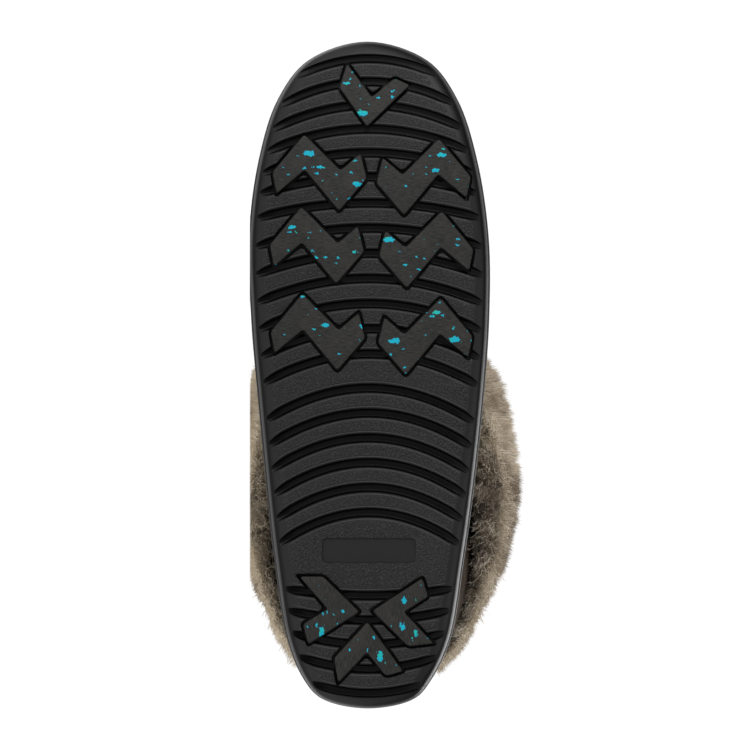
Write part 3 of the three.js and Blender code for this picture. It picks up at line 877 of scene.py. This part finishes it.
def off_shaft(points):
    """Moves points inside the upper out onto it, and tells which may carry hair: none inside the collar."""
    places, faces = sock_form(FIT_GAP, ABOVE_COLLAR)
    tree = BVHTree.FromPolygons([tuple(p) for p in places], faces)

    def nearest(point):
        spot, normal, _, _ = tree.find_nearest(Vector(point))
        return spot, (Vector(point) - spot).dot(normal)

    inward = nearest(SHAFT_MIDDLE)[1]
    moved, hairy = points.copy(), np.ones(len(points))
    for number, point in enumerate(points):
        spot, depth = nearest(point)
        if depth * inward > 0:
            moved[number] = spot
            hairy[number] = point[2] < COLLAR_ZONE
    return moved, hairy


def cell_vectors(grid):
    """Vector across each cell of a grid, as long as the cell's area."""
    return np.cross(np.roll(grid, -1, 1) - grid, np.gradient(grid, axis=0))


def fur_roots(count, levels):
    """Roots spread over the undercoat, closer near the sole, with the direction straight out of it."""
    steps, around = ROOT_GRID
    heights = np.linspace(*levels, steps)
    grid = np.array([fur_ring(level, UNDERCOAT_INSET, around) for level in heights])
    across = cell_vectors(grid)
    moved, hairy = off_shaft(grid.reshape(-1, 3))
    grid = moved.reshape(grid.shape)
    area = np.linalg.norm(cell_vectors(grid), axis=2)
    area = (area * hairy.reshape(area.shape))[:-1]
    area[heights[:-1] < DENSE_BELOW] *= DENSE_FACTOR
    row, column = np.divmod(rng.choice(area.size, count, p=(area / area.sum()).ravel()), around)
    aside, up = rng.random((2, count, 1))
    return between(grid, row, column, up, aside), unit(across[row, column])


def away_from_leg(root):
    return unit(np.c_[root[:, 0] - LEG_AT, root[:, 1] * 1.6, np.zeros(len(root))])


def hair_flow(root, out):
    """Directions of a hair at its root and at its tip: outward, then over towards sole and heel."""
    plan = away_from_leg(root)
    under = clamp01(-1.3 * out[:, 2:])
    rear = clamp01(-out[:, :1]) * (1 - under)
    lean = np.concatenate([-0.2 + 0.2 * rear, 0 * rear, -0.3 - 0.5 * rear], axis=1)
    start = unit(out * (1 - 0.55 * under) + (0.35 + 0.5 * under) * plan + lean * (1 - 0.7 * under))
    back, down = -0.55 + 0.2 * under + 0.35 * rear, -0.75 + 0.6 * under - 1.1 * rear
    fall = np.concatenate([back, 0 * under, down], axis=1)
    end = unit(0.45 * out * (1 - 0.8 * under) + (0.75 + 0.25 * under - 0.35 * rear) * plan + fall)
    return start, end


# How the hair's length varies from the heel to the instep
LENGTH_PLACES = [0.0, 20.0, 36.0, 60.0, 90.0, 110.0, 130.0, 150.0]
LENGTH_SHARES = [0.45, 0.68, 0.46, 0.64, 0.76, 0.85, 0.82, 0.7]
FRINGE_SHARES = [0.65, 0.72, 0.85, 1.05, 1.05, 0.9, 0.7, 0.55]


def fringe_flow(root, out):
    """Directions of a fringe hair: out and down, then down along the suede."""
    plan = away_from_leg(root)
    start = unit(0.36 * plan + (0, 0, -0.9))
    end = unit(-0.22 * plan + (-0.05, 0, -1.0))
    return start, end


def patches(points, size, seed):
    shift = Vector((seed * 13.7, seed * 5.1, seed * 9.3))
    turn = Euler((0.6, 0.9, 0.4)).to_matrix()
    return np.array([noise.noise(turn @ Vector(p) / size + shift) for p in points])


def make_fur():
    material = fur_material()
    make_undercoat(material)
    total = HAIRS_PER_PIECE * len(HAIR_PIECES)
    coat = combed(total, CLUMPS, (0.1, len(FUR_LEVELS) - 1), HAIR_LENGTH, LENGTH_SHARES, hair_flow)
    root = coat["stations"][0]
    order = np.argsort(np.arctan2(root[:, 1], root[:, 0] - LEG_AT), kind="stable")
    for number, name in enumerate(HAIR_PIECES):
        make_hairs(name, coat, order[number * HAIRS_PER_PIECE:(number + 1) * HAIRS_PER_PIECE], material)
    fringe = combed(FRINGE_HAIRS, FRINGE_CLUMPS, FRINGE_LEVELS, FRINGE_LENGTH, FRINGE_SHARES, fringe_flow)
    # painted light: the fringe is made paler than the rest of the coat
    fringe["tone"] += FRINGE_PAINTED_LIGHT
    make_hairs("fur_fringe", fringe, np.arange(FRINGE_HAIRS), material)


def combed(total, clumps, levels, lengths, shares, flow):
    """Hairs drawn together into clumps: their places from root to tip, flat sides and tones."""
    root, out = fur_roots(total, levels)
    clump_root, clump_out = fur_roots(clumps, levels)
    clump = nearest_numbers(clump_root, root)
    clump_size = rng.uniform(*CLUMP_SIZES, clumps)
    start, end = flow(root, out)
    start = unit(start + rng.normal(0, START_STRAY, root.shape))
    end = unit(end + rng.normal(0, END_STRAY, root.shape))
    clump_start, clump_end = flow(clump_root, clump_out)
    clump_end = unit(clump_end + rng.normal(0, CLUMP_STRAY, clump_root.shape))
    clump_size = clump_size * np.interp(clump_root[:, 0], LENGTH_PLACES, shares)
    reach = (rng.uniform(*lengths, total) * clump_size[clump])[:, None]
    clump_reach = (np.mean(lengths) * clump_size / 2)[:, None]
    clump_tip = clump_root + (clump_start + clump_end) * clump_reach
    painted_light_inner_side = smoothstep(-clump_root[:, 1], 0.0, 50.0)
    tone = 0.55 * patches(clump_root, 24.0, 1) + 0.5 * patches(clump_root, 8.0, 2)
    # painted light: clumps on the inner side, which lies toward the floor, are made paler
    tone = tone + 0.1 + 0.35 * painted_light_inner_side + rng.normal(0, CLUMP_TONE_SPREAD, clumps)
    pull = rng.uniform(*CLUMP_PULL, total)[:, None]
    stations = []
    for t in HAIR_STATIONS:
        free = root + reach * (start * (t - t * t / 2) + end * t * t / 2)
        goal = clump_root[clump] + (clump_tip[clump] - clump_root[clump]) * t
        stations.append(free + (goal - free) * pull * t ** 1.5)
    side = unit(np.cross(end, rng.normal(0, 1, root.shape)))
    tone = tone[clump] + rng.normal(0, HAIR_TONE_SPREAD, total)
    return {"stations": stations, "side": side, "tone": tone}


def make_hairs(name, hairs, chosen, material):
    """Thin tapered blades, one for each hair: two four-sided stretches and a pointed tip."""
    stations = [station[chosen] for station in hairs["stations"]]
    side, tone = hairs["side"][chosen], hairs["tone"][chosen]
    count = len(side)
    blade = np.empty((count, BLADE_POINTS, 3))
    for k in range(3):
        half = side * (HAIR_WIDTH * HAIR_TAPER[k] / 2)
        blade[:, 2 * k] = stations[k] - half
        blade[:, 2 * k + 1] = stations[k] + half
    blade[:, 6] = stations[3]
    points = above_floor(blade.reshape(-1, 3), FLOOR_CLEAR)
    quads = np.array([[0, 1, 3, 2], [2, 3, 5, 4]])
    start = (np.arange(count) * BLADE_POINTS)[:, None, None]
    corners = np.concatenate([(start + quads).reshape(count, 8), start[:, 0] + [4, 5, 6]], axis=1)
    sizes = np.tile([4, 4, 3], count)
    mesh = bpy.data.meshes.new(name)
    mesh.vertices.add(len(points))
    mesh.vertices.foreach_set("co", lay(points).ravel().astype(np.float32))
    mesh.loops.add(corners.size)
    mesh.loops.foreach_set("vertex_index", corners.ravel().astype(np.int32))
    mesh.polygons.add(len(sizes))
    mesh.polygons.foreach_set("loop_start", np.r_[0, np.cumsum(sizes)[:-1]].astype(np.int32))
    mesh.update(calc_edges=True)
    mesh.polygons.foreach_set("use_smooth", np.ones(len(sizes), bool))
    along = np.tile(np.repeat(HAIR_STATIONS, [2, 2, 2, 1]), count)
    store(mesh, "hair", np.c_[along, np.repeat(tone, BLADE_POINTS) * 0.5 + 0.5, np.zeros_like(along)])
    piece = new_object(name, mesh)
    mesh.materials.append(material)
    stand_in(piece, "fur_cuff")


# Materials

def feed(socket, value):
    """Links a node's output to a socket, or sets the socket to a constant."""
    if isinstance(value, bpy.types.NodeSocket):
        socket.id_data.links.new(value, socket)
    else:
        socket.default_value = (*value, 1.0) if socket.type == "RGBA" else value


def dress(shader, **values):
    """Feeds sockets of the shader by their names."""
    for name, value in values.items():
        feed(shader.inputs[name.replace("_", " ")], value)


def new_material(name, roughness, **constants):
    """A material and its shader."""
    material = bpy.data.materials.new(name)
    material.use_nodes = True
    shader = material.node_tree.nodes["Principled BSDF"]
    dress(shader, Roughness=roughness, **constants)
    return material, shader


def add(beside, kind, inputs=None, **settings):
    """A new node in the tree of another node or socket."""
    made = beside.id_data.nodes.new(kind)
    for key, value in settings.items():
        setattr(made, key, value)
    for key, value in (inputs or {}).items():
        feed(made.inputs[key], value)
    return made


def calc(operation, *values, kind="ShaderNodeMath"):
    return add(values[0], kind, dict(enumerate(values)), operation=operation).outputs[0]


def calc_vector(operation, *values):
    return calc(operation, *values, kind="ShaderNodeVectorMath")


def ramp(value, low, high, at_low=0.0, at_high=1.0):
    """A soft step from one number to another."""
    inputs = {"Value": value, "From Min": low, "From Max": high, "To Min": at_low, "To Max": at_high}
    return add(value, "ShaderNodeMapRange", inputs, interpolation_type="SMOOTHSTEP").outputs[0]


def mix_colour(share, first, second):
    return add(share, "ShaderNodeMix", {0: share, 6: first, 7: second}, data_type="RGBA").outputs[2]


def mix_number(share, first, second):
    return add(share, "ShaderNodeMix", {0: share, 2: first, 3: second}, data_type="FLOAT").outputs[0]


def stored(shader, name, output="Vector"):
    """What the mesh keeps under a name at each of its points."""
    return add(shader, "ShaderNodeAttribute", attribute_name=name).outputs[output]


def split(vector):
    return list(add(vector, "ShaderNodeSeparateXYZ", {0: vector}).outputs)


def stretched(where, scale):
    return add(where, "ShaderNodeMapping", {"Vector": where, "Scale": scale}).outputs[0]


def object_mm(shader):
    """Places on the object, in millimetres."""
    source = add(shader, "ShaderNodeTexCoord").outputs["Object"]
    return add(source, "ShaderNodeVectorMath", {0: source, "Scale": 1000.0}, operation="SCALE").outputs[0]


def voronoi(where, scale, **settings):
    return add(where, "ShaderNodeTexVoronoi", {"Vector": where, "Scale": scale}, **settings).outputs


def noise_of(where, scale, detail=3.0, roughness=0.55):
    inputs = {"Vector": where, "Scale": scale, "Detail": detail, "Roughness": roughness}
    return add(where, "ShaderNodeTexNoise", inputs).outputs[0]


def bump(height, distance, strength=1.0, normal=None):
    inputs = {"Height": height, "Distance": distance, "Strength": strength}
    if normal is not None:
        inputs["Normal"] = normal
    return add(height, "ShaderNodeBump", inputs).outputs[0]


def groove_distance(x, y):
    """Distance from a place on the tread to the middle of the nearest groove."""
    q = calc("POWER", calc("DIVIDE", y, SWEEP_HALF_WIDTH), 2.0)
    nearest = None
    for first, pitch, count, sweep_first, sweep_last in GROOVE_ZONES:
        sweep_step = (sweep_last - sweep_first) / (count - 1)
        over = calc("SUBTRACT", calc("SUBTRACT", x, first), calc("MULTIPLY", q, sweep_first))
        spacing = calc("MULTIPLY_ADD", q, sweep_step, pitch)
        groove = calc("ROUND", calc("DIVIDE", over, spacing))
        held = calc("MINIMUM", calc("MAXIMUM", groove, 0.0), count - 1.0)
        away = calc("ABSOLUTE", calc("SUBTRACT", over, calc("MULTIPLY", held, spacing)))
        sweep = calc("MULTIPLY_ADD", held, sweep_step, sweep_first)
        slope = calc("MULTIPLY", calc("MULTIPLY", y, sweep), 2 / SWEEP_HALF_WIDTH ** 2)
        tilt = calc("SQRT", calc("MULTIPLY_ADD", slope, slope, 1.0))
        away = calc("DIVIDE", away, tilt)
        nearest = away if nearest is None else calc("MINIMUM", nearest, away)
    return nearest


# Depths below the ribs' face and distances from a groove's middle over which looks change
ON_FACE = (0.3, 0.08)
IN_GROOVE = (0.5, 2.4)
ON_TREAD = (3.3, 3.1)
PEBBLES_BESIDE = (2.95, 3.3)
# Where the fine line beside a groove runs: raised by a bump, and painted lighter as a highlight
LINE_AND_HIGHLIGHT_STARTS = (2.42, 2.56)
LINE_AND_HIGHLIGHT_ENDS = (2.84, 2.7)
PEBBLE_SCALE = 1.55


def sole_material():
    """Satin ribs with pebble grain; a fine raised line along each glossy groove, painted lighter as a
    highlight; groove floors painted near black as shade.
    """
    material, shader = new_material("black_rubber", 0.42, Specular_IOR_Level=0.3)
    where = object_mm(shader)
    x, y, depth = split(stored(shader, "place"))
    away = groove_distance(x, y)
    on_face = ramp(depth, *ON_FACE)
    on_tread = ramp(depth, *ON_TREAD)
    in_groove = calc("MULTIPLY", ramp(depth, *IN_GROOVE), on_tread)
    cells = voronoi(where, PEBBLE_SCALE, feature="SMOOTH_F1")
    pebbled = calc("MULTIPLY", ramp(away, *PEBBLES_BESIDE), on_face)
    pebbles = calc("MULTIPLY", ramp(cells["Distance"], 0.6, 0.12), pebbled)
    beside = calc("MULTIPLY", ramp(away, *LINE_AND_HIGHLIGHT_STARTS), ramp(away, *LINE_AND_HIGHLIGHT_ENDS))
    line = calc("MULTIPLY", beside, on_face)
    fine = noise_of(where, 2.2, 4.0)
    normal = bump(line, 0.00018, 1.0, bump(pebbles, 0.0004))
    normal = bump(fine, 0.00003, 0.6, normal)
    broad = noise_of(where, 0.03, 2.0)
    face = mix_colour(broad, (0.0072, 0.0072, 0.0078), (0.0122, 0.0122, 0.0136))
    face = mix_colour(calc("MULTIPLY", pebbles, 0.8), face, (0.03, 0.03, 0.0305))
    # painted highlight: the fine line beside each groove is coloured lighter, as if its edge caught the
    # light; its bump is real relief
    face = mix_colour(line, face, (0.055, 0.055, 0.057))
    # painted shade: the groove floors are coloured near black, darker than the rubber of the ribs, for the
    # shade in the grooves
    colour = mix_colour(in_groove, face, (0.0012, 0.0012, 0.0015))
    rough = mix_number(in_groove, ramp(fine, 0.2, 0.8, 0.4, 0.56), 0.34)
    gloss = mix_number(in_groove, mix_number(on_tread, 0.5, 0.27), 0.1)
    dress(shader, Base_Color=colour, Roughness=rough, Specular_IOR_Level=gloss, Normal=normal)
    return material


def grip_material(name, lengthwise):
    """Dark rubber with fine scratches and scattered turquoise chips, both running one way."""
    material, shader = new_material(name, 0.62, Specular_IOR_Level=0.22)
    where = stored(shader, "place")
    grain = (0.25, 3.0, 1.0) if lengthwise else (3.0, 0.25, 1.0)
    scratches = noise_of(stretched(where, grain), 1.3, 5.0, 0.7)
    worn = ramp(scratches, 0.36, 0.66)
    body = mix_colour(worn, (0.0075, 0.0073, 0.007), (0.036, 0.035, 0.0335))
    mottle = ramp(noise_of(where, 0.1), 0.45, 0.7, 0.0, 0.45)
    body = mix_colour(mottle, body, (0.034, 0.032, 0.0265))
    stretch = (1.0, 2.0, 1.0) if lengthwise else (2.0, 1.0, 1.0)
    large = chip_mask(where, 0.085, 0.74, stretch, (0.1, 0.2))
    small = chip_mask(where, 0.19, 0.66, stretch, (0.04, 0.15))
    flecks = calc("MAXIMUM", large, small)
    hue = ramp(noise_of(where, 0.35, 1.0), 0.5, 0.72)
    turquoise = mix_colour(hue, (0.003, 0.36, 0.5), (0.01, 0.42, 0.36))
    normal = bump(calc("MULTIPLY_ADD", flecks, 0.5, scratches), 0.0001, 0.8)
    dress(shader, Base_Color=mix_colour(flecks, body, turquoise), Normal=normal)
    return material


def chip_mask(where, scale, rarity, stretch, sizes):
    """Scattered ragged chips: only some cells of a stretched cell pattern hold one."""
    flat = calc_vector("MULTIPLY", where, (1.0, 1.0, 0.0))
    wobble = add(flat, "ShaderNodeTexNoise", {"Vector": flat, "Scale": 0.9, "Detail": 3.0}).outputs["Color"]
    centred = calc_vector("SUBTRACT", wobble, (0.5, 0.5, 0.5))
    moved = calc_vector("MULTIPLY_ADD", centred, (2.4, 2.4, 0.0), flat)
    cells = voronoi(stretched(moved, stretch), scale, voronoi_dimensions="2D")
    pick = add(moved, "ShaderNodeSeparateColor", {0: cells["Color"]}).outputs
    inside = calc("LESS_THAN", cells["Distance"], ramp(pick[1], 0.0, 1.0, *sizes))
    return calc("MULTIPLY", calc("GREATER_THAN", pick[0], rarity), inside)


def suede_material():
    """Brown nap in soft patches, darker in the creases as painted shade and lighter on the ridges as a
    painted highlight.
    """
    material, shader = new_material("brown_suede", 0.92, Specular_IOR_Level=0.08, Sheen_Weight=0.06)
    where = object_mm(shader)
    nap = noise_of(where, 1.8, 6.0, 0.7)
    mottle = noise_of(where, 0.045, 4.0, 0.6)
    brushed = noise_of(stretched(where, (0.25, 1, 1)), 0.5)
    relief = stored(shader, "relief", "Fac")
    colour = (0.036, 0.024, 0.016)
    for share, shade in (
        (ramp(mottle, 0.3, 0.72), (0.09, 0.061, 0.041)),
        (ramp(brushed, 0.42, 0.62, 0.0, 0.4), (0.11, 0.077, 0.054)),
        (ramp(nap, 0.5, 0.7, 0.0, 0.35), (0.13, 0.092, 0.065)),
        # painted shade: darker in the crease troughs, following the stored relief
        (ramp(relief, -0.2, -2.4, 0.0, 0.6), (0.018, 0.012, 0.008)),
        # painted highlight: lighter on the raised seam, puckers and crease ridges
        (ramp(relief, 0.2, 1.6, 0.0, 0.5), (0.15, 0.107, 0.076)),
    ):
        colour = mix_colour(share, colour, shade)
    dress(shader, Base_Color=colour, Normal=bump(nap, 0.0007, 0.8))
    return material


def fleece_material():
    material, shader = new_material("cream_fleece", 0.95, Sheen_Weight=0.5, Sheen_Roughness=0.6)
    where = object_mm(shader)
    curls = voronoi(where, 0.42, feature="SMOOTH_F1")
    fibres = noise_of(where, 1.4, 6.0, 0.75)
    height = calc("SUBTRACT", calc("MULTIPLY", fibres, 0.6), curls["Distance"])
    colour = mix_colour(ramp(height, -0.5, 0.35), (0.3, 0.25, 0.18), (0.62, 0.55, 0.44))
    dress(shader, Base_Color=colour, Normal=bump(height, 0.0016, 0.9))
    return material


def fibre_material(name, roughness, grain, spread, shades, nap, **constants):
    """Twisted or pressed fibres: one noise gives both the shade and the nap."""
    material, shader = new_material(name, roughness, **constants)
    fibres = noise_of(object_mm(shader), *grain)
    colour = mix_colour(ramp(fibres, *spread), *shades)
    dress(shader, Base_Color=colour, Normal=bump(fibres, *nap))
    return material


def thread_material():
    shades = ((0.05, 0.034, 0.023), (0.11, 0.078, 0.054))
    return fibre_material("waxed_thread", 0.6, (2.4,), (0.35, 0.65), shades, (0.0003, 0.7))


def felt_material():
    grain, nap = (0.9, 8.0, 0.8), (0.0006, 0.8)
    shades = ((0.33, 0.29, 0.23), (0.55, 0.5, 0.41))
    return fibre_material("grey_felt", 0.95, grain, (0.3, 0.7), shades, nap, Sheen_Weight=0.3)


def fur_material():
    """Hair by hair: grey root, beige middle and brown tip, in soft patches of pale and dark; paler on the
    inner side and on the fringe as painted light.
    """
    material, shader = new_material("rabbit_fur", 0.7, Sheen_Weight=0.2, Sheen_Roughness=0.4)
    along, tone = split(stored(shader, "hair"))[:2]
    pale = ramp(tone, 0.3, 0.7)
    middle = mix_colour(pale, (0.62, 0.51, 0.39), (0.97, 0.91, 0.79))
    tip = mix_colour(pale, (0.21, 0.155, 0.11), (0.82, 0.72, 0.58))
    lighter = calc("MULTIPLY_ADD", calc("SUBTRACT", tone, 0.5), 0.6, along)
    low = mix_colour(ramp(lighter, 0.05, 0.42), (0.15, 0.119, 0.091), middle)
    dress(shader, Base_Color=mix_colour(ramp(along, 0.58, 0.96), low, tip))
    return material


# Stage: floor, light and camera

FLOOR_HALF = 6.0
FLOOR_GLOW = 0.55
WHITE = (1.0, 1.0, 1.0)
LIGHT_SIZE = 0.9
# Soft boxes in metres: name, place, power, and the point that they face
LIGHTS = [
    ("softbox_toe", (-1.0, -0.9, 0.3), 11, (0, 0, 0.05)),
    ("softbox_top", (0.3, -0.5, 1.3), 4, (0, 0, 0.05)),
    ("softbox_back", (0.5, 1.1, 1.0), 7, (0, 0.03, 0.05)),
]
CAMERA_AT = (138.4, 2.5, -1100.0)
VIEW_WIDTH = 306.6
SENSOR_WIDTH = 36.0


def make_stage():
    mesh = bpy.data.meshes.new("floor")
    corners = [(FLOOR_HALF * x, FLOOR_HALF * y, 0) for x, y in ((-1, -1), (1, -1), (1, 1), (-1, 1))]
    mesh.from_pydata(corners, [], [(0, 1, 2, 3)])
    floor = new_object("floor", mesh)
    material, shader = new_material("pale_floor", 0.9, Emission_Color=WHITE, Emission_Strength=FLOOR_GLOW)
    spread = noise_of(object_mm(shader), 0.004, 2.0)
    dress(shader, Base_Color=mix_colour(spread, (0.86, 0.86, 0.86), (0.9, 0.9, 0.9)))
    mesh.materials.append(material)


def make_world():
    """White behind the boot, greyer behind the camera, so that black rubber keeps its depth."""
    world = bpy.data.worlds.new("studio")
    bpy.context.scene.world = world
    world.use_nodes = True
    background = world.node_tree.nodes["Background"]
    across = split(add(background, "ShaderNodeTexCoord").outputs["Generated"])[1]
    soft = ramp(across, -0.1, 0.5, 0.28, 0.42)
    behind = ramp(across, 0.8, 0.97, 0.0, 0.63)
    dress(background, Color=WHITE, Strength=calc("ADD", soft, behind))


def make_light(name, at, power, target):
    data = bpy.data.lights.new(name, "AREA")
    data.shape = "SQUARE"
    data.size = LIGHT_SIZE
    data.energy = power
    light = bpy.data.objects.new(name, data)
    bpy.context.scene.collection.objects.link(light)
    light.location = at
    light.rotation_euler = (Vector(target) - Vector(at)).to_track_quat("-Z", "Y").to_euler()


def make_camera():
    data = bpy.data.cameras.new("camera")
    data.sensor_width = SENSOR_WIDTH
    data.lens = SENSOR_WIDTH * -CAMERA_AT[2] / VIEW_WIDTH
    data.clip_start = 0.01
    camera = bpy.data.objects.new("camera", data)
    bpy.context.scene.collection.objects.link(camera)
    turn = Matrix(np.array([AXES[1], AXES[0], -AXES[2]]).T.tolist())
    camera.matrix_world = Matrix.Translation(lay([CAMERA_AT])[0]) @ turn.to_4x4()
    bpy.context.scene.camera = camera


make_stage()
make_world()
for light_row in LIGHTS:
    make_light(*light_row)
make_camera()
make_outsole()
make_inserts()
make_upper()
make_fur()
wear(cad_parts["insole"], felt_material())
bpy.context.scene.view_settings.view_transform = "Standard"

bpy.context.view_layer.update()
